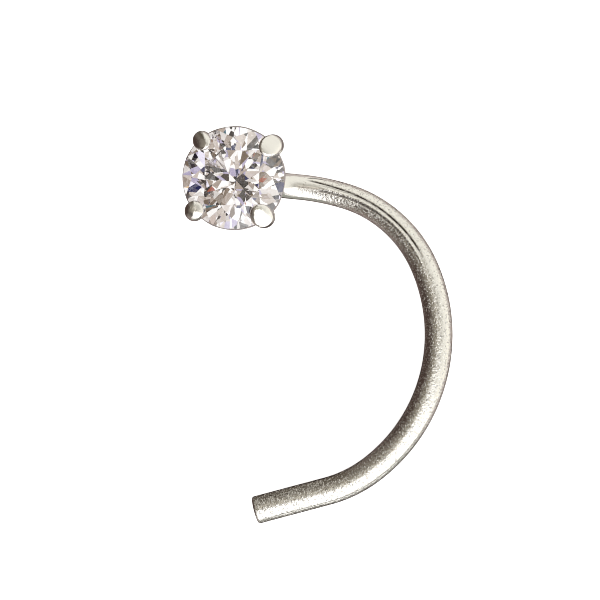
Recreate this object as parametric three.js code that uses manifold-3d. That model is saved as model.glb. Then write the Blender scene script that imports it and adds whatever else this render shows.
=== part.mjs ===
import * as THREE from 'three';
import { mergeVertices } from 'three/addons/utils/BufferGeometryUtils.js';
import { ParametricGeometry } from 'three/addons/geometries/ParametricGeometry.js';
import Module from 'manifold-3d';

// A nose stud: a round brilliant stone in a claw setting on a straight post,
// which bends square at its foot into an open hook lying in one plane.
// Millimetres, +Z up. The hook lies on z = 0, the post stands up from it and
// the stone's table faces up. The origin is the bottom centre of the stud's box.

// Stone
const stoneDiameter = 2.5;
const tableWidth = 1.42;
const crownHeight = 0.37;
const girdleThickness = 0.07;
const pavilionDepth = 1.075;
const starRadius = 0.97;            // star facets' outer points, from the axis
const lowerGirdleRadius = 0.29;     // lower girdle facets' inner points, from the axis
const stoneTurn = 21;               // degrees from +X to the first kite facet
const kiteCount = 8;
const girdleSteps = 4;              // straight steps of the girdle on one girdle facet

// Setting
const seatClearance = 0.025;        // between the stone and the claws' notches
const culetClearance = 0.12;        // between the stone's point and the cup
const cupHeight = 0.45;
const cupFootDiameter = 1.3;
const cupRimDiameter = 1.5;
const clawTipDiameter = 0.5;
const clawRootDiameter = 0.36;
const clawTipRise = 0.15;           // centre of a claw's domed tip above the girdle
const clawDomeHeight = 0.2;
const clawLean = 0.045;             // a claw's shoulder stands out past its tip by this
const clawTurn = 40;                // degrees from +X to the first claw
const galleryDiameter = 1.86;
const galleryDrop = 0.62;           // gallery rail below the girdle
const galleryThickness = 0.17;

// Post and hook
const postDiameter = 0.63;
const postLength = 5.5;             // cup's foot to the hook's centreline
const footBendRadius = 0.8;
const hookHeading = -5.5;           // degrees from +X to the hook's start
const wireDiameter = 0.69;
const hookRadius = 4.0;
const tailLength = 1.84;
const tipRounding = 0.06;

// Claws in turn: degrees off the even spacing, reach of the tip from the axis as a
// share of the stone's radius, and tip size as a share of clawTipDiameter
const claws = [
  { off: 0, reach: 0.94, size: 1.04 },
  { off: 0, reach: 0.915, size: 0.92 },
  { off: 0, reach: 0.96, size: 0.92 },
  { off: -2.5, reach: 0.905, size: 1.08 }
];

// Hook's arcs from the post on: radius as a share of hookRadius, and degrees turned
const hookArcs = [
  { radius: 1.443, turn: 11.9 },
  { radius: 0.781, turn: 47.2 },
  { radius: 1.044, turn: 79.1 },
  { radius: 0.793, turn: 21 }
];

// How the section grows from the post's to the hook's, as shares of the hook's length
const swellStart = 0.1;
const swellEnd = 0.42;

// Share of a claw's length at which it reaches its full thickness
const clawFullAt = 0.67;

// Fineness of the round shapes
const wireSides = 16;
const clawSides = 12;
const turnedSides = 32;
const arcStep = 4.5;                // degrees of bend to one step of the wire
const clawSteps = 9;
const domeSteps = 4;

const wasm = await Module();
wasm.setup();

const polar = (radius, degrees, z) => {
  const angle = THREE.MathUtils.degToRad(degrees);
  return new THREE.Vector3(radius * Math.cos(angle), radius * Math.sin(angle), z);
};

function toSolid(geometry) {
  const bare = geometry.clone();
  bare.deleteAttribute('normal');
  bare.deleteAttribute('uv');
  const merged = mergeVertices(bare, 1e-5);
  const corners = merged.index.array;
  const triangles = [];
  for (let i = 0; i < corners.length; i += 3) {
    const [a, b, c] = corners.slice(i, i + 3);
    if (a !== b && b !== c && c !== a) triangles.push(a, b, c);
  }
  return new wasm.Manifold(new wasm.Mesh({
    numProp: 3,
    vertProperties: new Float32Array(merged.attributes.position.array),
    triVerts: new Uint32Array(triangles)
  }));
}

function toGeometry(solid) {
  const mesh = solid.getMesh();
  const geometry = new THREE.BufferGeometry();
  geometry.setAttribute('position', new THREE.BufferAttribute(mesh.vertProperties, 3));
  geometry.setIndex(new THREE.BufferAttribute(mesh.triVerts, 1));
  geometry.computeVertexNormals();
  return geometry;
}

// Heights above the surface that the hook lies on. The wire's lowest flat is at zero.
const flatShare = Math.cos(Math.PI / wireSides);
const cupFootZ = wireDiameter / 2 * flatShare + postLength;
const culetZ = cupFootZ + cupHeight + culetClearance;
const girdleFootZ = culetZ + pavilionDepth;
const girdleTopZ = girdleFootZ + girdleThickness;
const galleryZ = girdleFootZ - galleryDrop;

// Round brilliant: a table, eight stars, eight kites and sixteen girdle facets above
// the girdle; sixteen girdle facets and eight mains below it. A clearance moves every
// facet out by that much, which gives the room that the setting leaves for the stone.
function brilliant(clearance) {
  const radius = stoneDiameter / 2 + clearance;
  const kiteSlope = crownHeight / (stoneDiameter / 2 - tableWidth / 2);
  const mainSlope = pavilionDepth / (stoneDiameter / 2);
  const rise = (slope) => clearance * (Math.hypot(1, slope) - slope);
  const topZ = girdleTopZ + rise(kiteSlope);
  const footZ = girdleFootZ - rise(mainSlope);
  const tableZ = girdleTopZ + crownHeight + clearance;
  const tableRadius = radius - (tableZ - topZ) / kiteSlope;
  const pitch = 360 / kiteCount;
  const halfCos = Math.cos(THREE.MathUtils.degToRad(pitch / 2));
  const starZ = topZ + (radius - starRadius * halfCos) * kiteSlope;
  const lowerZ = footZ - (radius - lowerGirdleRadius * halfCos) * mainSlope;
  const culet = new THREE.Vector3(0, 0, footZ - radius * mainSlope);

  const azimuth = (k) => stoneTurn + k * pitch;
  const table = (k) => polar(tableRadius, azimuth(k), tableZ);
  const star = (k) => polar(starRadius, azimuth(k + 0.5), starZ);
  const lower = (k) => polar(lowerGirdleRadius, azimuth(k + 0.5), lowerZ);
  const top = (k) => polar(radius, azimuth(k), topZ);
  const foot = (k) => polar(radius, azimuth(k), footZ);

  // the girdle's edge follows the facet that ends there
  const edge = (inner, from, to, height) => {
    const plane = new THREE.Plane().setFromCoplanarPoints(inner, height(from), height(to));
    return Array.from({ length: girdleSteps + 1 }, (_, i) => {
      const point = height(from + (to - from) * i / girdleSteps);
      const { normal, constant } = plane;
      point.z = -(normal.x * point.x + normal.y * point.y + constant) / normal.z;
      return point;
    });
  };

  const corners = [];
  const facet = (points) => {
    for (let i = 1; i < points.length - 1; i += 1) corners.push(points[0], points[i], points[i + 1]);
  };
  facet(Array.from({ length: kiteCount }, (_, k) => table(k)));
  for (let k = 0; k < kiteCount; k += 1) {
    facet([table(k), star(k), table(k + 1)]);
    facet([table(k), star(k - 1), top(k), star(k)]);
    facet([culet, lower(k), foot(k), lower(k - 1)]);
    for (const [from, to] of [[k, k + 0.5], [k + 0.5, k + 1]]) {
      const upperEdge = edge(star(k), from, to, top);
      const lowerEdge = edge(lower(k), from, to, foot);
      facet([star(k), ...upperEdge]);
      facet([lower(k), ...lowerEdge.toReversed()]);
      for (let i = 0; i < girdleSteps; i += 1) {
        facet([lowerEdge[i], lowerEdge[i + 1], upperEdge[i + 1], upperEdge[i]]);
      }
    }
  }
  return new THREE.BufferGeometry().setFromPoints(corners);
}

// A rod of round section through stations, each with a centre, a radius and the two
// directions that its section lies in. A flat of the section faces away from up.
function rod(stations, sides) {
  const surface = (u, v, target) => {
    const { centre, radius, side, up } = stations[Math.round(u * (stations.length - 1))];
    const angle = (v + 0.5 / sides) * 2 * Math.PI;
    target.copy(centre);
    target.addScaledVector(side, radius * Math.sin(angle));
    target.addScaledVector(up, radius * Math.cos(angle));
  };
  return new ParametricGeometry(surface, stations.length - 1, sides);
}

// Post, square bend and hook as one wire, from the middle of the cup to the tip
function wire() {
  const heading = (degrees) => polar(1, degrees, 0);
  const vertical = new THREE.Vector3(0, 0, 1);
  const start = heading(hookHeading);
  const sideways = heading(hookHeading + 90);
  const postRadius = postDiameter / 2;
  const stations = [];

  const postTop = new THREE.Vector3(0, 0, cupFootZ + cupHeight / 2);
  const postFoot = new THREE.Vector3(0, 0, postRadius * flatShare + footBendRadius);
  stations.push({ centre: postTop, radius: 0, side: sideways, up: start });
  stations.push({ centre: postTop, radius: postRadius, side: sideways, up: start });
  const bendSteps = Math.ceil(90 / arcStep / 2);
  for (let i = 0; i <= bendSteps; i += 1) {
    const angle = Math.PI / 2 * i / bendSteps;
    const up = start.clone().multiplyScalar(Math.cos(angle)).addScaledVector(vertical, Math.sin(angle));
    const centre = postFoot.clone().addScaledVector(start, footBendRadius).addScaledVector(up, -footBendRadius);
    stations.push({ centre, radius: postRadius, side: sideways, up });
  }

  // the hook's plan: arcs, then a straight tail
  const pieces = hookArcs.map(({ radius, turn }) => ({
    length: radius * hookRadius * THREE.MathUtils.degToRad(turn),
    turn,
    steps: Math.ceil(turn / arcStep)
  }));
  pieces.push({ length: tailLength - tipRounding, turn: 0, steps: 1 });
  const hookLength = pieces.reduce((sum, { length }) => sum + length, 0);
  const point = start.clone().multiplyScalar(footBendRadius);
  let degrees = hookHeading;
  let run = 0;
  for (const { length, turn, steps } of pieces) {
    for (let i = 0; i < steps; i += 1) {
      const half = turn / steps / 2;
      const chordShare = half ? Math.sin(THREE.MathUtils.degToRad(half)) / THREE.MathUtils.degToRad(half) : 1;
      point.addScaledVector(heading(degrees - half), length / steps * chordShare);
      degrees -= 2 * half;
      run += length / steps;
      const swell = THREE.MathUtils.smoothstep(run / hookLength, swellStart, swellEnd);
      const radius = THREE.MathUtils.lerp(postRadius, wireDiameter / 2, swell);
      const centre = point.clone().setZ(radius * flatShare);
      stations.push({ centre, radius, side: heading(degrees + 90), up: vertical });
    }
  }

  // the tip is cut square and its edge rounded
  const last = stations.at(-1);
  for (let i = 1; i <= domeSteps; i += 1) {
    const angle = Math.PI / 2 * i / domeSteps;
    const centre = last.centre.clone().addScaledVector(heading(degrees), tipRounding * Math.sin(angle));
    stations.push({ ...last, centre, radius: last.radius - tipRounding * (1 - Math.cos(angle)) });
  }
  stations.push({ ...stations.at(-1), radius: 0 });
  return rod(stations, wireSides);
}

// A claw rises from the cup, leans out below the girdle, stands up past it and ends
// in a dome over the stone's edge
function claw({ off, reach, size }, index) {
  const degrees = clawTurn + index * 360 / claws.length + off;
  const tipRadius = clawTipDiameter / 2 * size;
  const tipReach = reach * stoneDiameter / 2;
  const tipZ = girdleTopZ + clawTipRise;
  const rootReach = cupRimDiameter / 2 - clawRootDiameter / 2;
  const profile = new THREE.CatmullRomCurve3([
    new THREE.Vector3(rootReach, 0, cupFootZ + cupHeight / 2),
    new THREE.Vector3(galleryDiameter / 2, 0, galleryZ),
    new THREE.Vector3(tipReach + clawLean, 0, girdleFootZ - tipRadius / 2),
    new THREE.Vector3(tipReach, 0, tipZ)
  ]);
  const outward = polar(1, degrees, 0);
  const side = polar(1, degrees - 90, 0);
  const stations = [];
  for (let i = 0; i <= clawSteps; i += 1) {
    const share = i / clawSteps;
    const { x, z } = profile.getPoint(share);
    const tangent = profile.getTangent(share);
    const up = outward.clone().multiplyScalar(tangent.z).setZ(-tangent.x).normalize();
    const radius = THREE.MathUtils.lerp(clawRootDiameter / 2, tipRadius, Math.min(1, share / clawFullAt));
    stations.push({ centre: outward.clone().multiplyScalar(x).setZ(z), radius, side, up });
  }
  stations.unshift({ ...stations[0], radius: 0 });
  const last = stations.at(-1);
  for (let i = 1; i <= domeSteps; i += 1) {
    const angle = Math.PI / 2 * i / domeSteps;
    const centre = last.centre.clone().setZ(tipZ + clawDomeHeight * Math.sin(angle));
    stations.push({ ...last, up: outward, centre, radius: i < domeSteps ? tipRadius * Math.cos(angle) : 0 });
  }
  return rod(stations, clawSides);
}

function turned(profile) {
  const points = profile.map(([radius, z]) => new THREE.Vector2(radius, z));
  return new THREE.LatheGeometry(points, turnedSides).rotateX(Math.PI / 2);
}

function cup() {
  const rimZ = cupFootZ + cupHeight;
  return turned([
    [0, cupFootZ],
    [cupFootDiameter / 2, cupFootZ],
    [cupRimDiameter / 2, cupFootZ + cupHeight / 2],
    [cupRimDiameter / 2, rimZ],
    [0, rimZ]
  ]);
}

function gallery() {
  const corners = 8;
  const profile = Array.from({ length: corners + 1 }, (_, i) => {
    const angle = 2 * Math.PI * (i + 0.5) / corners;
    return [
      galleryDiameter / 2 + galleryThickness / 2 * Math.cos(angle),
      galleryZ + galleryThickness / 2 * Math.sin(angle)
    ];
  });
  return turned(profile);
}

const silver = new THREE.MeshStandardMaterial({ color: 0xc9c4b8, roughness: 0.28, metalness: 1 });
const zirconia = new THREE.MeshStandardMaterial({ color: 0xe9e8f0, roughness: 0.02, metalness: 0 });

// the metal is soldered into one piece, and the claws are notched for the stone
const metalParts = [wire(), cup(), gallery(), ...claws.map(claw)].map(toSolid);
const soldered = metalParts.reduce((whole, part) => whole.add(part));
const metal = soldered.subtract(toSolid(brilliant(seatClearance)));

const clawSetting = new THREE.Mesh(toGeometry(metal), silver);
clawSetting.name = 'claw_setting_with_hook';
const stone = new THREE.Mesh(toGeometry(toSolid(brilliant(0))), zirconia);
stone.name = 'stone';

const stud = new THREE.Group();
stud.name = 'nose_stud';
stud.add(clawSetting, stone);
const box = new THREE.Box3().setFromObject(stud);
const middle = box.getCenter(new THREE.Vector3());
stud.position.set(-middle.x, -middle.y, -box.min.z);
stud.updateMatrixWorld(true);

export default stud;
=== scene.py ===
import math

import bmesh
import bpy
import numpy as np
from mathutils import Matrix, Vector


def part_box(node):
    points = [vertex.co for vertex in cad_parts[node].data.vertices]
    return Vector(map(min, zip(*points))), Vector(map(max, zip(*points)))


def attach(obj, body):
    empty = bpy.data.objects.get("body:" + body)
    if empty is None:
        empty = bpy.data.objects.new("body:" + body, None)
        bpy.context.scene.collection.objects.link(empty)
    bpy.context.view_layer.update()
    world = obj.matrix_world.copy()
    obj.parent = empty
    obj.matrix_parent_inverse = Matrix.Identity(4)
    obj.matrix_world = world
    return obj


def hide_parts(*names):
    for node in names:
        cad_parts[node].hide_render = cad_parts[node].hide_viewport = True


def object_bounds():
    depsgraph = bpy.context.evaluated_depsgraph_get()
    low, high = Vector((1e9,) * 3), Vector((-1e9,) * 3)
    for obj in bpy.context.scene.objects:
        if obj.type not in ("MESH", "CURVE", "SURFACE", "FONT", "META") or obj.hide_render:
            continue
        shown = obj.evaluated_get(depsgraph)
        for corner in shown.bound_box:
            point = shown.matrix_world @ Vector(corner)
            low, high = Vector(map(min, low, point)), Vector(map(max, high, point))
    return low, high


# Nose stud: claw setting, post and hook in silver, with a round brilliant stone.
# Shapes are worked out in millimetres and written to the meshes in metres.

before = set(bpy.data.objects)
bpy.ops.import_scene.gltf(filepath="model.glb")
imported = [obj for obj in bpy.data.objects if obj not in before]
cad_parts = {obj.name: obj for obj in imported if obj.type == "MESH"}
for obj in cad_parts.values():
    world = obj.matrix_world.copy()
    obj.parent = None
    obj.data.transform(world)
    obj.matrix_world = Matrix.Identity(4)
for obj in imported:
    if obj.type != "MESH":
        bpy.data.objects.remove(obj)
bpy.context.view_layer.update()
mm = 0.001

stoneLow, stoneHigh = (np.array(corner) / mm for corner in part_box("stone"))
postFoot = (stoneLow + stoneHigh) / 2 * [1, 1, 0]   # the post stands under the stone's middle
tableZ = stoneHigh[2]
culetZ = stoneLow[2]
upwards = np.array([0, 0, 1.0])
white = (1.0, 1.0, 1.0, 1.0)


# Small helpers

def linear(hexColour):
    # sRGB hex to linear: c / 12.92 below 0.04045, else ((c + 0.055) / 1.055) ^ 2.4
    c = np.array([int(hexColour[i:i + 2], 16) / 255 for i in (1, 3, 5)])
    return tuple(np.where(c <= 0.04045, c / 12.92, ((c + 0.055) / 1.055) ** 2.4)) + (1.0,)


def smoothStep(x, low, high):
    # 3t^2 - 2t^3, with t the share of the way from low to high
    t = np.clip((x - low) / (high - low), 0, 1)
    return t * t * (3 - 2 * t)


def newObject(name, data):
    piece = bpy.data.objects.new(name, data)
    bpy.context.scene.collection.objects.link(piece)
    return piece


def meshObject(name, points, faces, smooth):
    # points in mm, faces a list of index arrays of one length each
    mesh = bpy.data.meshes.new(name)
    mesh.from_pydata(points.tolist(), [], [f for block in faces for f in block.tolist()])
    mesh.polygons.foreach_set("use_smooth", [smooth] * len(mesh.polygons))
    mesh.update()
    return newObject(name, mesh)


def toMetres(piece):
    piece.data.transform(Matrix.Scale(mm, 4))
    piece.data.update()


def tubeMesh(name, rows):
    # rows[i, j]: ring i along, point j around; the first and last rings close on their own
    # middles, so ring i is joined to ring i + 1 by quads and each end by a fan to one point
    count, around = rows.shape[:2]
    points = np.vstack([rows.reshape(-1, 3), rows[0].mean(0), rows[-1].mean(0)])
    i, j = np.meshgrid(np.arange(count - 1), np.arange(around), indexing="ij")
    k = (j + 1) % around
    quads = np.stack([i * around + j, i * around + k, (i + 1) * around + k, (i + 1) * around + j], -1)
    ring = np.arange(around)
    following = (ring + 1) % around
    firstFan = np.stack([np.full(around, count * around), following, ring], -1)
    lastBase = (count - 1) * around
    lastFan = np.stack([np.full(around, count * around + 1), lastBase + ring, lastBase + following], -1)
    return meshObject(name, points, [quads.reshape(-1, 4), firstFan, lastFan], True)


def pointAttribute(piece, name, values):
    # one number, or three, for each point of the mesh
    kind, key = ("FLOAT", "value") if values.ndim == 1 else ("FLOAT_VECTOR", "vector")
    piece.data.attributes.new(name, kind, "POINT").data.foreach_set(key, values.ravel())


def addNode(tree, kind, inputs=None, **settings):
    # adds one node, sets its settings, and links or fills its inputs
    node = tree.nodes.new(kind)
    for key, value in settings.items():
        setattr(node, key, value)
    for key, value in (inputs or {}).items():
        if isinstance(value, bpy.types.NodeSocket):
            tree.links.new(value, node.inputs[key])
        else:
            node.inputs[key].default_value = value
    return node


def newMaterial(name):
    material = bpy.data.materials.new(name)
    material.use_nodes = True
    material.node_tree.nodes.clear()
    return material, material.node_tree


# Stone

stone = {
    "diameter": 2.5,
    "tableWidth": 1.42,
    "crownHeight": 0.37,
    "girdleThickness": 0.07,
    "starRadius": 0.97,
    "lowerGirdleRadius": 0.29,
    "turn": 21.0,          # degrees to the first kite facet
    "kites": 8,
    "girdleSteps": 8,      # straight steps of the girdle to one girdle facet
    "girdleTaper": 0.026,  # the ground girdle narrows upwards by this
    "culetOff": (0.01, -0.07),   # the point stands off the middle by this, as on a quickly cut stone
    "facetError": 0.7,     # degrees by which the lower facets are out of true
    "errorSeed": 4,
    "lowerNormal": -0.1,   # a facet is a lower one where its normal's z is less than this
    "girdleNormal": 0.5,   # a face is the girdle's where its normal's z is nearer to 0 than this
    "blankBelow": 1.0,     # the blank reaches this far below the point
    "onPlane": 1e-5,       # a corner this near to a cutting plane counts as on it
    "weld": 2e-4,          # corners nearer to each other than this become one
}
girdleTopZ = tableZ - stone["crownHeight"]
girdleFootZ = girdleTopZ - stone["girdleThickness"]
stoneMiddle = upwards * girdleFootZ   # on the axis of the stone as it is cut


def facetPlanes(clearance):
    # the planes of a round brilliant, as normals and distances from the stone's middle: kites
    # and mains through the girdle's corners, star and girdle facets through three corner
    # points each; a clearance moves every plane outwards by that much
    radius = stone["diameter"] / 2
    tableRadius = stone["tableWidth"] / 2
    starRadius = stone["starRadius"]
    lowerRadius = stone["lowerGirdleRadius"]
    crownSlope = stone["crownHeight"] / (radius - tableRadius)
    mainSlope = (girdleFootZ - culetZ) / radius
    pitch = 2 * np.pi / stone["kites"]
    half = np.cos(pitch / 2)
    starZ = girdleTopZ + (radius - starRadius * half) * crownSlope
    lowerZ = girdleFootZ - (radius - lowerRadius * half) * mainSlope
    lowerShare = 1 - lowerRadius / radius

    def at(r, k, z, off=0.0):
        # a corner k kites round from the first, off by a share of the point's own way off
        angle = math.radians(stone["turn"]) + k * pitch
        shift = np.array([*stone["culetOff"], 0]) * off
        return shift + np.array([r * np.cos(angle), r * np.sin(angle), z])

    triples = []
    for k in range(stone["kites"]):
        table, nextTable = (at(tableRadius, k + s, tableZ) for s in (0, 1))
        star = at(starRadius, k + 0.5, starZ)
        lower, lastLower = (at(lowerRadius, k + s, lowerZ, lowerShare) for s in (0.5, -0.5))
        top, middleTop, nextTop = (at(radius, k + s, girdleTopZ) for s in (0, 0.5, 1))
        foot, middleFoot, nextFoot = (at(radius, k + s, girdleFootZ) for s in (0, 0.5, 1))
        triples += [(table, star, nextTable), (table, top, star), (star, top, middleTop),
                    (star, middleTop, nextTop), (foot, lastLower, lower), (middleFoot, foot, lower),
                    (nextFoot, middleFoot, lower)]
    corners = np.array(triples)
    normals = np.cross(corners[:, 1] - corners[:, 0], corners[:, 2] - corners[:, 0])
    normals /= np.linalg.norm(normals, axis=1)[:, None]
    distances = ((corners[:, 0] - stoneMiddle) * normals).sum(1)
    outwards = np.sign(distances)
    normals = normals * outwards[:, None]
    errors = np.random.default_rng(stone["errorSeed"])
    error = errors.normal(0, math.radians(stone["facetError"]), normals.shape)
    normals += error * (normals[:, 2:] < stone["lowerNormal"])
    normals /= np.linalg.norm(normals, axis=1)[:, None]
    return normals, distances * outwards + clearance


def girdleFaces(mesh):
    # the girdle's faces stand nearly upright
    normals = np.empty(len(mesh.polygons) * 3)
    mesh.polygons.foreach_get("normal", normals)
    return np.abs(normals.reshape(-1, 3)[:, 2]) < stone["girdleNormal"]


def cutStone(name, clearance):
    # starts as a blank with its two ends at point(i, j) = (r(i) cos a(j), r(i) sin a(j), z(i)),
    # narrowing upwards along the girdle, and is ground plane by plane, as a cutter does
    steps = stone["kites"] * 2 * stone["girdleSteps"]
    a = np.arange(steps) / steps * 2 * np.pi + math.radians(stone["turn"])
    slope = stone["girdleTaper"] / stone["girdleThickness"]
    z = np.array([culetZ - stone["blankBelow"], tableZ + clearance])
    r = stone["diameter"] / 2 + clearance - (z - girdleFootZ) * slope
    points = np.stack([np.outer(r, np.cos(a)), np.outer(r, np.sin(a)), np.outer(z, np.ones(steps))], -1)
    j = np.arange(steps)
    k = (j + 1) % steps
    ends = np.stack([j + steps, j[::-1]])
    sides = np.stack([j, k, k + steps, j + steps], -1)
    piece = meshObject(name, points.reshape(-1, 3), [ends, sides], False)
    blank = bmesh.new()
    blank.from_mesh(piece.data)
    for normal, distance in zip(*facetPlanes(clearance)):
        cut = bmesh.ops.bisect_plane(
            blank, geom=blank.verts[:] + blank.edges[:] + blank.faces[:], dist=stone["onPlane"],
            plane_co=stoneMiddle + normal * distance, plane_no=normal, clear_outer=True)
        edges = [e for e in cut["geom_cut"] if isinstance(e, bmesh.types.BMEdge)]
        if edges:
            bmesh.ops.contextual_create(blank, geom=edges)
    bmesh.ops.remove_doubles(blank, verts=blank.verts[:], dist=stone["weld"])
    bmesh.ops.dissolve_degenerate(blank, edges=blank.edges[:], dist=stone["weld"])
    bmesh.ops.recalc_face_normals(blank, faces=blank.faces[:])
    bmesh.ops.translate(blank, verts=blank.verts[:], vec=Vector(postFoot))
    blank.to_mesh(piece.data)
    blank.free()
    return piece


# Post and hook

wire = {
    "postDiameter": 0.63,
    "diameter": 0.69,
    "bendRadius": 0.8,
    "heading": -5.5,       # degrees from the x axis to where the hook starts off
    "hookRadius": 4.0,
    "arcs": [(1.443, 11.9), (0.781, 47.2), (1.044, 79.1), (0.793, 21.0)],   # radius share, degrees
    "tail": 1.84,
    "tipRounding": 0.06,
    "swell": (0.1, 0.42),  # between these shares of the hook's length the wire thickens
    "flatShare": math.cos(math.pi / 16),   # the solid's lowest flat lies this share of a radius down
    "around": 160,
    "step": 0.04,
    "postStep": 0.15,
    "edgeSteps": 8,        # rings round the tip's edge
    "faceSteps": 5,        # rings in its flat face
    "faceLast": 0.05,      # share of the face's radius that the last of them has
    "burnished": (0.30, 1.05),    # beside the setting the grain is polished out, in mm along the hook
    # marks left by the draw plate and the bending tongs, a row for each: from and to in mm along
    # the hook, degrees from the top to the outside at each end, width of the floor and of each
    # wall, depth (a negative one is a raised burr), the painted shade in it from 0 to 1 (dark colour
    # that stands in for the shade and dark reflections in the groove), and the lengths over which
    # it fades in and out
    "marks": [
        (0.10, 3.80, 38.0, 15.5, 0.028, 0.019, 0.016, 1.0, 0.25, 0.60),
        (0.40, 3.20, 22.5, 12.0, 0.014, 0.012, 0.002, 0.35, 0.30, 0.80),
        (0.45, 4.20, 9.5, 0.0, 0.006, 0.040, -0.020, 0.0, 0.30, 1.00),
        (0.35, 3.90, -3.0, -7.5, 0.032, 0.022, 0.004, 0.8, 0.20, 2.20),
        (0.12, 0.62, 48.5, 58.0, 0.014, 0.016, 0.010, 1.0, 0.10, 0.15),
        (7.40, 9.30, -43.0, -45.0, 0.008, 0.018, 0.008, 0.60, 0.60, 0.60),
        (11.55, 12.50, -49.0, -49.0, 0.008, 0.018, 0.008, 0.65, 0.30, 0.05),
        (8.00, 12.45, 58.0, 52.0, 0.010, 0.024, 0.004, 0.15, 0.50, 0.50),
    ],
}
cup = {
    "height": 0.45,
    "footDiameter": 1.3,
    "rimDiameter": 1.5,
    "culetGap": 0.12,      # from the cup's rim up to the stone's point
    "corner": 0.04,
    "cornerSteps": 6,
    "innerRadius": 0.02,   # its ends are closed from here to the middle
}
cupFootZ = culetZ - cup["culetGap"] - cup["height"]


def wirePath():
    # centreline: down the post, a quarter circle, then heading = start - integral of 1 / radius
    # over the length, and the place is the running sum of the heading's cosine and sine
    heading0 = math.radians(wire["heading"])
    start = np.array([math.cos(heading0), math.sin(heading0), 0])
    postRadius = wire["postDiameter"] / 2
    bendZ = postRadius * wire["flatShare"] + wire["bendRadius"]

    topZ = cupFootZ + cup["height"] / 2
    postZ = np.linspace(topZ, bendZ, int((topZ - bendZ) / wire["postStep"]))
    post = np.outer(postZ, upwards)
    postUp = np.tile(start, (len(postZ), 1))

    turn = np.linspace(0, np.pi / 2, int(np.pi / 2 * wire["bendRadius"] / wire["step"]) + 1)[1:]
    bendUp = np.outer(np.cos(turn), start) + np.outer(np.sin(turn), upwards)
    bend = start * wire["bendRadius"] + upwards * bendZ - bendUp * wire["bendRadius"]

    lengths = [share * wire["hookRadius"] * math.radians(a) for share, a in wire["arcs"]]
    curvatures = [math.radians(a) / length for (_, a), length in zip(wire["arcs"], lengths)] + [0]
    lengths.append(wire["tail"] - wire["tipRounding"])
    ends = np.cumsum(lengths)
    s = np.linspace(0, ends[-1], int(ends[-1] / wire["step"]))
    ds = s[1]
    curvature = np.array(curvatures)[np.minimum(np.searchsorted(ends, s), len(ends) - 1)]
    heading = heading0 - np.cumsum(curvature) * ds + curvature * ds / 2
    plan = np.cumsum(np.c_[np.cos(heading), np.sin(heading)] * ds, axis=0)
    plan += start[:2] * wire["bendRadius"]
    radius = postRadius + (wire["diameter"] / 2 - postRadius) * smoothStep(s / ends[-1], *wire["swell"])
    hook = np.c_[plan, radius * wire["flatShare"]]

    # the tip is cut square, with its edge rounded by a quarter circle
    edge = np.linspace(0, np.pi / 2, wire["edgeSteps"] + 1)[1:]
    ahead = np.array([math.cos(heading[-1]), math.sin(heading[-1]), 0])
    rounding = wire["tipRounding"]
    tip = hook[-1] + np.outer(np.sin(edge), ahead) * rounding
    tipRadius = radius[-1] - rounding * (1 - np.cos(edge))
    face = np.linspace(1, wire["faceLast"], wire["faceSteps"] + 1)[1:]
    tip = np.vstack([tip, np.tile(tip[-1], (len(face), 1))])
    tipRadius = np.r_[tipRadius, tipRadius[-1] * face]

    centre = np.vstack([post, bend, hook, tip])
    radii = np.r_[np.full(len(post) + len(bend), postRadius), radius, tipRadius]
    up = np.vstack([postUp, bendUp, np.tile(upwards, (len(hook) + len(tip), 1))])
    headings = np.r_[np.full(len(post) + len(bend), heading0), heading, np.full(len(tip), heading[-1])]
    side = np.c_[-np.sin(headings), np.cos(headings), np.zeros(len(headings))]
    return centre, radii, side, up


def hookLength():
    # arcs and tail
    arcs = sum(share * wire["hookRadius"] * math.radians(turn) for share, turn in wire["arcs"])
    return arcs + wire["tail"]


def drawMarks(along, a):
    # each mark's depth rises by a smooth step on one wall and falls on the other, and it runs
    # from its first angle to its last as last + (first - last) (1 - t)^3; along is in mm from
    # where the hook begins
    along = along[:, None]
    depth = np.zeros((len(along), len(a)))
    paintedShadeAndTarnish = np.zeros_like(depth)
    for first, last, fromAngle, toAngle, floor, wall, deep, dark, fadeIn, fadeOut in wire["marks"]:
        share = np.clip((along - first) / (last - first), 0, 1)
        middle = np.radians(toAngle + (fromAngle - toAngle) * (1 - share) ** 3)
        across = np.abs(np.mod(a[None] - middle + np.pi, 2 * np.pi) - np.pi) * wire["diameter"] / 2
        fade = smoothStep(along, first, first + fadeIn) * (1 - smoothStep(along, last - fadeOut, last))
        mark = fade * (1 - smoothStep(across, floor / 2, floor / 2 + wall))
        depth += deep * mark
        # painted shade: how dark each mark's groove is coloured, standing in for the shade in it
        paintedShadeAndTarnish = np.maximum(paintedShadeAndTarnish, dark * mark)
    return depth, paintedShadeAndTarnish


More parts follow.
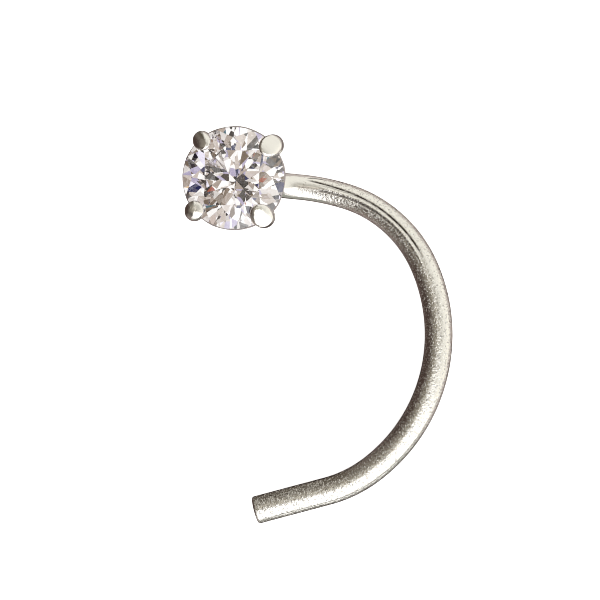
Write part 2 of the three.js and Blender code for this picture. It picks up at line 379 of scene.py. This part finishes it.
def wireSurface():
    # point(s, a) = centre(s) + (radius(s) - relief(s, a)) * (side(s) * sin a + up(s) * cos a)
    centre, radii, side, up = wirePath()
    a = np.linspace(0, 2 * np.pi, wire["around"], endpoint=False)
    ring = side[:, None] * np.sin(a)[None, :, None] + up[:, None] * np.cos(a)[None, :, None]
    lengths = np.r_[0, np.cumsum(np.linalg.norm(np.diff(centre, axis=0), axis=1))]
    along = lengths - lengths[-1] + hookLength()   # the hook begins where its own length is left
    depth, paintedShadeAndTarnish = drawMarks(along, a)
    rows = centre[:, None] + ring * (radii[:, None] - depth)[..., None]
    piece = tubeMesh("hook_wire", rows + postFoot)

    # the wire's own coordinates in mm, along and the two across; the last two points of each
    # attribute are the middles of the ends
    own = np.stack([np.repeat(lengths[:, None], len(a), 1), radii[:, None] * np.sin(a),
                    radii[:, None] * np.cos(a)], -1)
    own = np.vstack([own.reshape(-1, 3), [lengths[0], 0, 0], [lengths[-1], 0, 0]])
    grain = smoothStep(along, *wire["burnished"])
    pointAttribute(piece, "wireCoord", own)
    # painted shade of the draw marks, which the material mixes in as a dark colour
    pointAttribute(piece, "paintedShadeAndTarnish", np.r_[paintedShadeAndTarnish.ravel(), 0, 0])
    pointAttribute(piece, "grain", np.r_[np.repeat(grain, len(a)), 0, 0])
    return piece


# Claw setting

claw = {
    "turn": 40.0,          # degrees from the x axis to the first claw
    "tipDiameter": 0.5,
    "rootDiameter": 0.36,
    "tipRise": 0.18,       # the dome starts this far above the girdle's top
    "domeHeight": 0.16,
    "lean": 0.02,          # the shoulder stands out past the tip by this
    "domeLean": 0.08,      # the dome's top is pushed over the stone by this
    "domeSquareness": 2.4,   # exponent of the dome's profile: 2 is an ellipse, more is flatter
    "fullAt": 0.67,        # share of its length at which a claw is as thick as its tip
    "seatClearance": 0.025,   # between the stone and the seat cut for it
    "around": 40,
    "spineSteps": 48,
    "domeSteps": 18,
    # degrees off the even spacing, reach as a share of the stone's radius, size of the tip, and
    # degrees that its top face falls outwards
    "each": [(0, 0.95, 1.04, 26), (0, 0.93, 0.88, 16), (0, 0.97, 0.92, -8), (-2.5, 0.915, 1.08, 16)],
}
gallery = {"diameter": 1.86, "drop": 0.62, "thickness": 0.17, "sectionSteps": 24}
turnedSteps = 96   # steps round the cup and the gallery rail


def catmullRom(points, count):
    # uniform Catmull-Rom spline through the points, with mirrored ends
    p = np.vstack([2 * points[0] - points[1], points, 2 * points[-1] - points[-2]])
    t = np.linspace(0, len(points) - 1, count)
    i = np.minimum(t.astype(int), len(points) - 2)
    f = (t - i)[:, None]
    a, b, c, d = (p[i + n] for n in range(4))
    straight = 2 * b + (c - a) * f
    return 0.5 * (straight + (2 * a - 5 * b + 4 * c - d) * f ** 2 + (3 * b - a - 3 * c + d) * f ** 3)


def clawSurface(index, off, reach, size, fall):
    # point(t, a) = spine(t) + radius(t) * (side * sin a + across(t) * cos a), ending in a dome
    # whose radius falls as cos b to the power 2 / n while its centre rises as sin b to the same;
    # past the girdle's top the height falls outwards by the tangent of the fall
    degrees = claw["turn"] + index * 360 / len(claw["each"]) + off
    angle = math.radians(degrees)
    outward = np.array([math.cos(angle), math.sin(angle), 0])
    side = np.array([math.sin(angle), -math.cos(angle), 0])
    rootRadius = claw["rootDiameter"] / 2
    tipRadius = claw["tipDiameter"] / 2 * size
    tipReach = reach * stone["diameter"] / 2
    spine = catmullRom(np.array([
        [cup["rimDiameter"] / 2 - rootRadius, cupFootZ + cup["height"] / 2],
        [gallery["diameter"] / 2, girdleFootZ - gallery["drop"]],
        [tipReach + claw["lean"], girdleFootZ - tipRadius / 2],
        [tipReach, girdleTopZ + claw["tipRise"]],
    ]), claw["spineSteps"])
    tangent = np.gradient(spine, axis=0)
    tangent /= np.linalg.norm(tangent, axis=1)[:, None]
    share = np.linspace(0, 1, len(spine))
    radius = rootRadius + (tipRadius - rootRadius) * np.minimum(1, share / claw["fullAt"])
    b = np.linspace(0, np.pi / 2, claw["domeSteps"] + 2)[1:-1]
    power = 2 / claw["domeSquareness"]
    rise = np.sin(b) ** power
    dome = np.c_[tipReach - claw["domeLean"] * rise, spine[-1, 1] + claw["domeHeight"] * rise]
    spine = np.vstack([spine, dome])
    tangent = np.vstack([tangent, np.tile([0, 1.0], (len(b), 1))])
    radius = np.r_[radius, tipRadius * np.cos(b) ** power]
    across = outward * tangent[:, 1:] - upwards * tangent[:, :1]
    centre = outward * spine[:, :1] + upwards * spine[:, 1:]
    a = np.linspace(0, 2 * np.pi, claw["around"], endpoint=False)
    ring = side * np.sin(a)[None, :, None] + across[:, None] * np.cos(a)[None, :, None]
    rows = centre[:, None] + ring * radius[:, None, None]
    raised = smoothStep(spine[:, 1], girdleTopZ, spine[-1, 1])[:, None]
    rows[..., 2] -= math.tan(math.radians(fall)) * raised * (rows @ outward - tipReach)
    return tubeMesh(f"claw_{index + 1}", rows + postFoot)


def turnedSurface(name, profile, closed=False):
    # point(k, a) = (r(k) cos a, r(k) sin a, z(k)); a closed profile makes a ring
    r, z = np.array(profile).T[..., None]
    a = np.linspace(0, 2 * np.pi, turnedSteps, endpoint=False)
    rows = np.stack([r * np.cos(a), r * np.sin(a), np.repeat(z, turnedSteps, 1)], -1) + postFoot
    if not closed:
        return tubeMesh(name, rows)
    count = len(profile)
    points = rows.transpose(1, 0, 2).reshape(-1, 3)
    i, j = np.meshgrid(np.arange(turnedSteps), np.arange(count), indexing="ij")
    n, k = (i + 1) % turnedSteps, (j + 1) % count
    quads = np.stack([i * count + j, n * count + j, n * count + k, i * count + k], -1)
    return meshObject(name, points, [quads.reshape(-1, 4)], True)


def cupSurface():
    # a turned cup; its foot's edge is centre + corner * (sin b, -cos b) and its rim's edge is
    # centre + corner * (cos b, sin b), both over a quarter circle
    foot = cup["footDiameter"] / 2
    rim = cup["rimDiameter"] / 2
    corner = cup["corner"]
    rimZ = cupFootZ + cup["height"]
    b = np.linspace(0, np.pi / 2, cup["cornerSteps"])
    profile = [(cup["innerRadius"], cupFootZ)]
    profile += [(foot - corner + corner * np.sin(x), cupFootZ + corner - corner * np.cos(x)) for x in b]
    profile += [(rim, cupFootZ + cup["height"] / 2)]
    profile += [(rim - corner + corner * np.cos(x), rimZ - corner + corner * np.sin(x)) for x in b]
    profile += [(cup["innerRadius"], rimZ)]
    return turnedSurface("cup", profile)


def gallerySurface():
    # a rail of round section, centre + radius * (cos b, sin b)
    b = np.linspace(0, 2 * np.pi, gallery["sectionSteps"], endpoint=False)
    radius = gallery["thickness"] / 2
    r = gallery["diameter"] / 2 + radius * np.cos(b)
    z = girdleFootZ - gallery["drop"] + radius * np.sin(b)
    return turnedSurface("gallery", np.c_[r, z], closed=True)


def join(target, tool, operation):
    # adds or cuts a solid, and removes the tool
    modifier = target.modifiers.new("join", "BOOLEAN")
    modifier.operation = operation
    modifier.solver = "MANIFOLD"
    modifier.object = tool
    result = bpy.data.meshes.new_from_object(target.evaluated_get(bpy.context.evaluated_depsgraph_get()))
    target.modifiers.clear()
    target.data = result
    bpy.data.objects.remove(tool)


print("shapes: metal")
metal = wireSurface()
metal.name = "soldered_silver"
parts = [cupSurface(), gallerySurface()]
parts += [clawSurface(n, *each) for n, each in enumerate(claw["each"])]
for part in parts:
    join(metal, part, "UNION")
join(metal, cutStone("seat_cutter", claw["seatClearance"]), "DIFFERENCE")
toMetres(metal)

print("shapes: stone")
gem = cutStone("brilliant", 0.0)
toMetres(gem)


# Materials

silverFinish = {
    "colour": "#f3f0ea",
    "paintedShadeAndTarnish": "#2a1a13",     # painted shade in the draw marks, and the tarnish of the dark spots
    "edge": "#a89c9c",        # what the drawn metal tends to where it is seen at a grazing angle
    "roughness": 0.12,
    "burnished": 0.30,        # share of the grain left where the metal is polished
    "lineSpacing": 0.060,     # mm between the lines along the drawn wire
    "lineHeight": 0.0010,     # mm
    "lineStretch": 1.2,       # the lines' noise per mm along the wire
    # patterns of noise, a row for each: spacing in mm, detail, the noise between which the
    # pattern grows and how, and its value off and on it; a narrow range near the top leaves a
    # few separate spots
    "patterns": {
        "grit": (0.042, 2.0, 0.30, 0.70, "SMOOTHSTEP", 0.0, 0.0019),     # height in mm
        "scuffs": (0.180, 2.0, 0.30, 0.70, "SMOOTHSTEP", 0.0, 0.0030),   # height in mm
        "burrs": (0.062, 2.0, 0.56, 0.70, "SMOOTHSTEP", 0.0, 0.0072),    # height in mm
        "specks": (0.045, 1.0, 0.52, 0.66, "SMOOTHSTEP", 0.0, 0.40),     # roughness added
        "patches": (0.110, 2.0, 0.36, 0.56, "LINEAR", 0.75, 1.0),        # share of a mark's painted shade
        "spots": (0.055, 1.0, 0.61, 0.70, "LINEAR", 0.0, 0.45),          # tarnish of the dark spots
    },
}


def silverMaterial():
    # sterling silver, drawn to wire and lightly polished: warm white metal, darker where the wire
    # is seen at a grazing angle, with grit, scuffs and fine burrs that break up the reflections,
    # ground specks that scatter them, painted shade in the draw marks and tarnish in a few spots;
    # the claws and the wire beside them are burnished, with little grain left
    material, tree = newMaterial("drawn silver")
    place = addNode(tree, "ShaderNodeTexCoord").outputs["Object"]
    own = addNode(tree, "ShaderNodeAttribute", attribute_name="wireCoord").outputs["Vector"]
    drawn = addNode(tree, "ShaderNodeAttribute", attribute_name="grain").outputs["Fac"]
    marks = addNode(tree, "ShaderNodeAttribute", attribute_name="paintedShadeAndTarnish").outputs["Fac"]
    grain = addNode(tree, "ShaderNodeMapRange", {"Value": drawn, 3: silverFinish["burnished"]}).outputs[0]
    level = {}
    for name, (spacing, detail, low, high, climb, off, on) in silverFinish["patterns"].items():
        noise = addNode(tree, "ShaderNodeTexNoise", {
            "Vector": place, "Scale": 1 / (spacing * mm), "Detail": detail}, label=name)
        level[name] = addNode(tree, "ShaderNodeMapRange", {
            "Value": noise.outputs["Fac"], 1: low, 2: high, 3: off, 4: on,
        }, interpolation_type=climb).outputs[0]

    lineScale = 1 / silverFinish["lineSpacing"]
    stretched = addNode(tree, "ShaderNodeMapping", {
        "Vector": own, "Scale": (silverFinish["lineStretch"], lineScale, lineScale)})
    lines = addNode(tree, "ShaderNodeTexNoise", {"Vector": stretched.outputs[0], "Scale": 1.0})
    height = addNode(tree, "ShaderNodeMath", {
        0: lines.outputs["Fac"], 1: silverFinish["lineHeight"]}, operation="MULTIPLY").outputs[0]
    for name in ("grit", "scuffs", "burrs"):
        height = addNode(tree, "ShaderNodeMath", {0: level[name], 1: height}, operation="ADD").outputs[0]
    bump = addNode(tree, "ShaderNodeBump", {"Height": height, "Strength": grain, "Distance": mm})

    rough = addNode(tree, "ShaderNodeMath", {
        0: level["specks"], 1: grain, 2: silverFinish["roughness"]}, operation="MULTIPLY_ADD")
    # painted shade in the draw marks, broken into patches
    paintedShadeInMarks = addNode(tree, "ShaderNodeMath", {0: marks, 1: level["patches"]}, operation="MULTIPLY")
    onWire = addNode(tree, "ShaderNodeMath", {0: level["spots"], 1: drawn}, operation="MULTIPLY")
    share = addNode(tree, "ShaderNodeMath", {
        0: paintedShadeInMarks.outputs[0], 1: onWire.outputs[0]}, operation="MAXIMUM")
    # the base colour goes dark by the painted shade of the draw marks and by the tarnish spots
    colour = addNode(tree, "ShaderNodeMix", {
        0: share.outputs[0], 6: linear(silverFinish["colour"]), 7: linear(silverFinish["paintedShadeAndTarnish"]),
    }, data_type="RGBA")
    edge = addNode(tree, "ShaderNodeMix", {
        0: drawn, 6: white, 7: linear(silverFinish["edge"])}, data_type="RGBA")
    surface = addNode(tree, "ShaderNodeBsdfPrincipled", {
        "Base Color": colour.outputs[2], "Metallic": 1.0, "Roughness": rough.outputs[0],
        "Specular Tint": edge.outputs[2], "Normal": bump.outputs["Normal"]})
    addNode(tree, "ShaderNodeOutputMaterial", {"Surface": surface.outputs[0]})
    return material


stoneFinish = {
    "index": 2.16,
    "colour": "#fbfbff",
    "girdleColour": "#a89d9c",
    "girdleRoughness": 0.55,
    "girdleClearness": 0.15,   # share of the light that passes the frosted edge
}


def zirconiaMaterial():
    # cubic zirconia, cut and polished: colourless, with a high index, so its facets flash
    material, tree = newMaterial("cubic zirconia")
    surface = addNode(tree, "ShaderNodeBsdfPrincipled", {
        "Base Color": linear(stoneFinish["colour"]), "Roughness": 0.0, "IOR": stoneFinish["index"],
        "Transmission Weight": 1.0})
    addNode(tree, "ShaderNodeOutputMaterial", {"Surface": surface.outputs[0]})
    return material


def girdleMaterial():
    # the girdle of a cut stone is ground, not polished: a frosted grey edge all round
    material, tree = newMaterial("ground girdle")
    surface = addNode(tree, "ShaderNodeBsdfPrincipled", {
        "Base Color": linear(stoneFinish["girdleColour"]), "Roughness": stoneFinish["girdleRoughness"],
        "IOR": stoneFinish["index"], "Transmission Weight": stoneFinish["girdleClearness"]})
    addNode(tree, "ShaderNodeOutputMaterial", {"Surface": surface.outputs[0]})
    return material


print("materials")
metal.data.materials.clear()
metal.data.materials.append(silverMaterial())
gem.data.materials.clear()
gem.data.materials.append(zirconiaMaterial())
gem.data.materials.append(girdleMaterial())
gem.data.polygons.foreach_set("material_index", girdleFaces(gem.data).astype(int))
for piece, node, slotName in ((metal, "claw_setting_with_hook", "silver"), (gem, "stone", "stone")):
    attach(piece, "root")
    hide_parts(node)


# Floor, lights and camera

studio = {
    "floorSize": 400.0,
    "floorGlow": 0.75,
    "azimuthRange": (-112, 248),   # where the azimuths of the cards are counted from and to
    # the room that the metal mirrors, from straight above (0) to straight below (180 degrees)
    "room": [(0, "#a29c8f"), (30, "#8b857a"), (60, "#89837b"), (100, "#7c736c"),
             (125, "#7d6f6c"), (155, "#83736f")],
    # soft boxes and cards: azimuth and polar ranges in degrees, softness of their edges,
    # colour and radiance
    "cards": [
        ("shade", (205, 262), (28, 66), (12, 1), (10, 12), "#645e59", 1.0),
        ("pale edge", (214, 262), (102, 146), (8, 1), (8, 6), "#9c908c", 1.0),
        ("dark wall", (140, 208), (46, 122), (16, 14), (26, 10), "#4a3e39", 1.0),
        ("olive wall", (88, 128), (52, 150), (6, 12), (20, 8), "#5d564c", 1.0),
        ("dark rim", (104, 178), (134, 162), (8, 10), (6, 4), "#2b2121", 1.0),
        ("cream top", (62, 142), (3, 18), (10, 8), (3, 6), "#efeadf", 1.0),
        ("cream box", (-40, 104), (26, 114), (8, 6), (34, 6), "#f9f8f1", 1.0),
        ("bright cream", (-42, 24), (76, 112), (6, 14), (14, 4), "#fffdf4", 1.12),
        ("white box", (-110, -28), (8, 100), (1, 6), (4, 6), "#ffffff", 1.7),
        ("white corner", (230, 262), (5, 17), (3, 1), (3, 4), "#ffffff", 1.7),
        ("grey rim", (-130, -32), (99, 140), (3, 8), (5, 4), "#9fa099", 1.0),
        ("mauve wall", (-38, 102), (110, 150), (8, 6), (5, 4), "#c6bdb9", 1.0),
        ("mauve rim", (-130, 102), (145, 200), (8, 8), (5, 4), "#7b706f", 1.0),
        ("rim shade", (-130, -42), (140, 163), (1, 8), (5, 4), "#4c4342", 1.0),
        ("floor", (-130, 262), (166, 200), (1, 1), (4, 4), "#98918c", 1.0),
    ],
    # what the stone shows: a patchwork of cards by direction, some plain and some of small
    # pieces that break up the facets, with shares of the sky and their tints
    "stoneCards": 22.0,
    "stoneShift": (9.0, 0.0, 0.0),   # where in the pattern the patchwork is taken from
    "stonePieces": 700.0,
    "stoneBroken": 0.62,   # share of the cards that are of small pieces
    "stoneLight": 1.3,     # how bright the tints are
    "stoneTints": [(0.0, "#fffcf6"), (0.21, "#d9d3cc"), (0.34, "#c9beb3"), (0.46, "#a5978a"),
                   (0.57, "#b1a8c0"), (0.66, "#736353"), (0.76, "#3b3431"), (0.84, "#0f0c0e"),
                   (0.92, "#1b2350"), (0.95, "#e3c49c"), (0.957, "#9c5138"), (0.966, "#35606c"),
                   (0.971, "#efeaf6")],
}
view = {
    "distance": 200.0,     # mm from the hook's plane
    "stonePixels": 41.84,  # pixels to a millimetre at the stone's girdle
    "tiltRight": 6.25,     # degrees that the camera stands right of and below straight above
    "tiltDown": 0.33,
    "aim": (0.805, -2.8765, 0.33),   # mm from the post's foot
    "imageSize": 600,
    "sensor": 36.0,        # mm
    "clip": (0.01, 5.0),   # m
    "bounces": 12,         # inside the stone
    "filterWidth": 1.0,    # pixels, for crisp facet edges
}


def makeFloor():
    # a white card that only the camera sees, so that the metal mirrors the room around it
    half = studio["floorSize"] / 2
    z = float(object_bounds()[0][2]) / mm
    corners = np.array([(-half, -half, z), (half, -half, z), (half, half, z), (-half, half, z)])
    floor = meshObject("floor", corners, [np.arange(4)[None]], False)
    toMetres(floor)
    material, tree = newMaterial("white card")
    pale = addNode(tree, "ShaderNodeBsdfDiffuse", {"Color": white})
    glow = addNode(tree, "ShaderNodeEmission", {"Color": white, "Strength": studio["floorGlow"]})
    bright = addNode(tree, "ShaderNodeAddShader", {0: pale.outputs[0], 1: glow.outputs[0]})
    addNode(tree, "ShaderNodeOutputMaterial", {"Surface": bright.outputs[0]})
    floor.data.materials.append(material)
    floor.visible_glossy = False
    floor.visible_transmission = False
    floor.visible_diffuse = False


def fillRamp(ramp, stops):
    # stops as (place from 0 to 1, colour); a new ramp has two of its own
    for n, (position, colour) in enumerate(stops):
        stop = ramp.elements[n] if n < 2 else ramp.elements.new(position)
        stop.position = position
        stop.color = linear(colour)


def makeWorld():
    # the camera sees white; the metal sees the room with its cards; what comes through the
    # stone is a patchwork of cards, as a jeweller's light tent gives
    world = bpy.data.worlds.new("studio")
    bpy.context.scene.world = world
    world.use_nodes = True
    tree = world.node_tree
    tree.nodes.clear()

    direction = addNode(tree, "ShaderNodeTexCoord").outputs["Generated"]
    parts = addNode(tree, "ShaderNodeSeparateXYZ", {0: direction}).outputs
    start, end = (math.radians(degrees) for degrees in studio["azimuthRange"])
    bearing = addNode(tree, "ShaderNodeMath", {0: parts[1], 1: parts[0]}, operation="ARCTAN2").outputs[0]
    wrapped = addNode(tree, "ShaderNodeMath", {0: bearing, 1: end, 2: start}, operation="WRAP").outputs[0]
    azimuth = addNode(tree, "ShaderNodeMath", {0: wrapped}, operation="DEGREES").outputs[0]
    fromTop = addNode(tree, "ShaderNodeMath", {0: parts[2]}, operation="ARCCOSINE").outputs[0]
    polar = addNode(tree, "ShaderNodeMath", {0: fromTop}, operation="DEGREES").outputs[0]

    share = addNode(tree, "ShaderNodeMath", {0: fromTop, 1: math.pi}, operation="DIVIDE").outputs[0]
    room = addNode(tree, "ShaderNodeValToRGB", {"Fac": share})
    fillRamp(room.color_ramp, [(degrees / 180, colour) for degrees, colour in studio["room"]])
    seen = room.outputs["Color"]
    for name, azimuths, polars, azimuthSoft, polarSoft, colour, radiance in studio["cards"]:
        cover = 1.0
        for angle, limits, softness in ((azimuth, azimuths, azimuthSoft), (polar, polars, polarSoft)):
            for limit, soft, (before, after) in zip(limits, softness, ((0, 1), (1, 0))):
                fade = addNode(tree, "ShaderNodeMapRange", {
                    "Value": angle, 1: limit - soft, 2: limit + soft, 3: before, 4: after,
                }, interpolation_type="SMOOTHSTEP").outputs[0]
                cover = addNode(tree, "ShaderNodeMath", {0: fade, 1: cover},
                                operation="MULTIPLY").outputs[0]
        glow = tuple(np.array(linear(colour)[:3]) * radiance) + (1.0,)
        card = addNode(tree, "ShaderNodeMix", {0: cover, 6: seen, 7: glow}, data_type="RGBA", label=name)
        seen = card.outputs[2]

    tones = []
    shifted = addNode(tree, "ShaderNodeVectorMath", {0: direction, 1: studio["stoneShift"]}).outputs[0]
    for scale in (studio["stoneCards"], studio["stonePieces"]):
        cells = addNode(tree, "ShaderNodeTexVoronoi", {"Vector": shifted, "Scale": scale})
        tones.append(addNode(tree, "ShaderNodeSeparateColor", {0: cells.outputs["Color"]}).outputs)
    plain, broken = tones
    isBroken = addNode(tree, "ShaderNodeMath", {
        0: plain[1], 1: studio["stoneBroken"]}, operation="LESS_THAN").outputs[0]
    tone = addNode(tree, "ShaderNodeMix", {0: isBroken, 2: plain[0], 3: broken[0]}).outputs[0]
    patch = addNode(tree, "ShaderNodeValToRGB", {"Fac": tone})
    patch.color_ramp.interpolation = "CONSTANT"
    fillRamp(patch.color_ramp, studio["stoneTints"])
    patchwork = addNode(tree, "ShaderNodeVectorMath", {
        0: patch.outputs["Color"], "Scale": studio["stoneLight"]}, operation="SCALE").outputs[0]

    paths = addNode(tree, "ShaderNodeLightPath").outputs
    through = addNode(tree, "ShaderNodeMix", {
        0: paths["Is Transmission Ray"], 6: seen, 7: patchwork}, data_type="RGBA").outputs[2]
    final = addNode(tree, "ShaderNodeMix", {
        0: paths["Is Camera Ray"], 6: through, 7: white}, data_type="RGBA").outputs[2]
    sky = addNode(tree, "ShaderNodeBackground", {"Color": final, "Strength": 1.0})
    addNode(tree, "ShaderNodeOutputWorld", {"Surface": sky.outputs[0]})


def makeCamera():
    # looks at the aim from back, a unit vector that points from there to the camera
    right, down = math.radians(view["tiltRight"]), math.radians(view["tiltDown"])
    back = Vector((math.sin(right), -math.sin(down), 0))
    back.z = math.sqrt(1 - back.length_squared)
    side = Vector((0, 1, 0)).cross(back).normalized()
    up = back.cross(side)
    aim = Vector(postFoot) + Vector(view["aim"])
    camera = bpy.data.cameras.new("camera")
    girdleDistance = view["distance"] - (girdleTopZ - view["aim"][2])
    focalPixels = view["stonePixels"] * girdleDistance
    camera.sensor_width = view["sensor"]
    camera.lens = focalPixels * view["sensor"] / view["imageSize"]
    camera.clip_start, camera.clip_end = view["clip"]
    holder = newObject("camera", camera)
    place = Matrix((side, up, back)).transposed().to_4x4()
    place.translation = (aim + back * view["distance"]) * mm
    holder.matrix_world = place
    bpy.context.scene.camera = holder


print("studio")
makeFloor()
makeWorld()
makeCamera()
bpy.context.scene.view_settings.view_transform = "Standard"
bpy.context.scene.cycles.glossy_bounces = view["bounces"]
bpy.context.scene.cycles.transmission_bounces = view["bounces"]
bpy.context.scene.cycles.filter_width = view["filterWidth"]
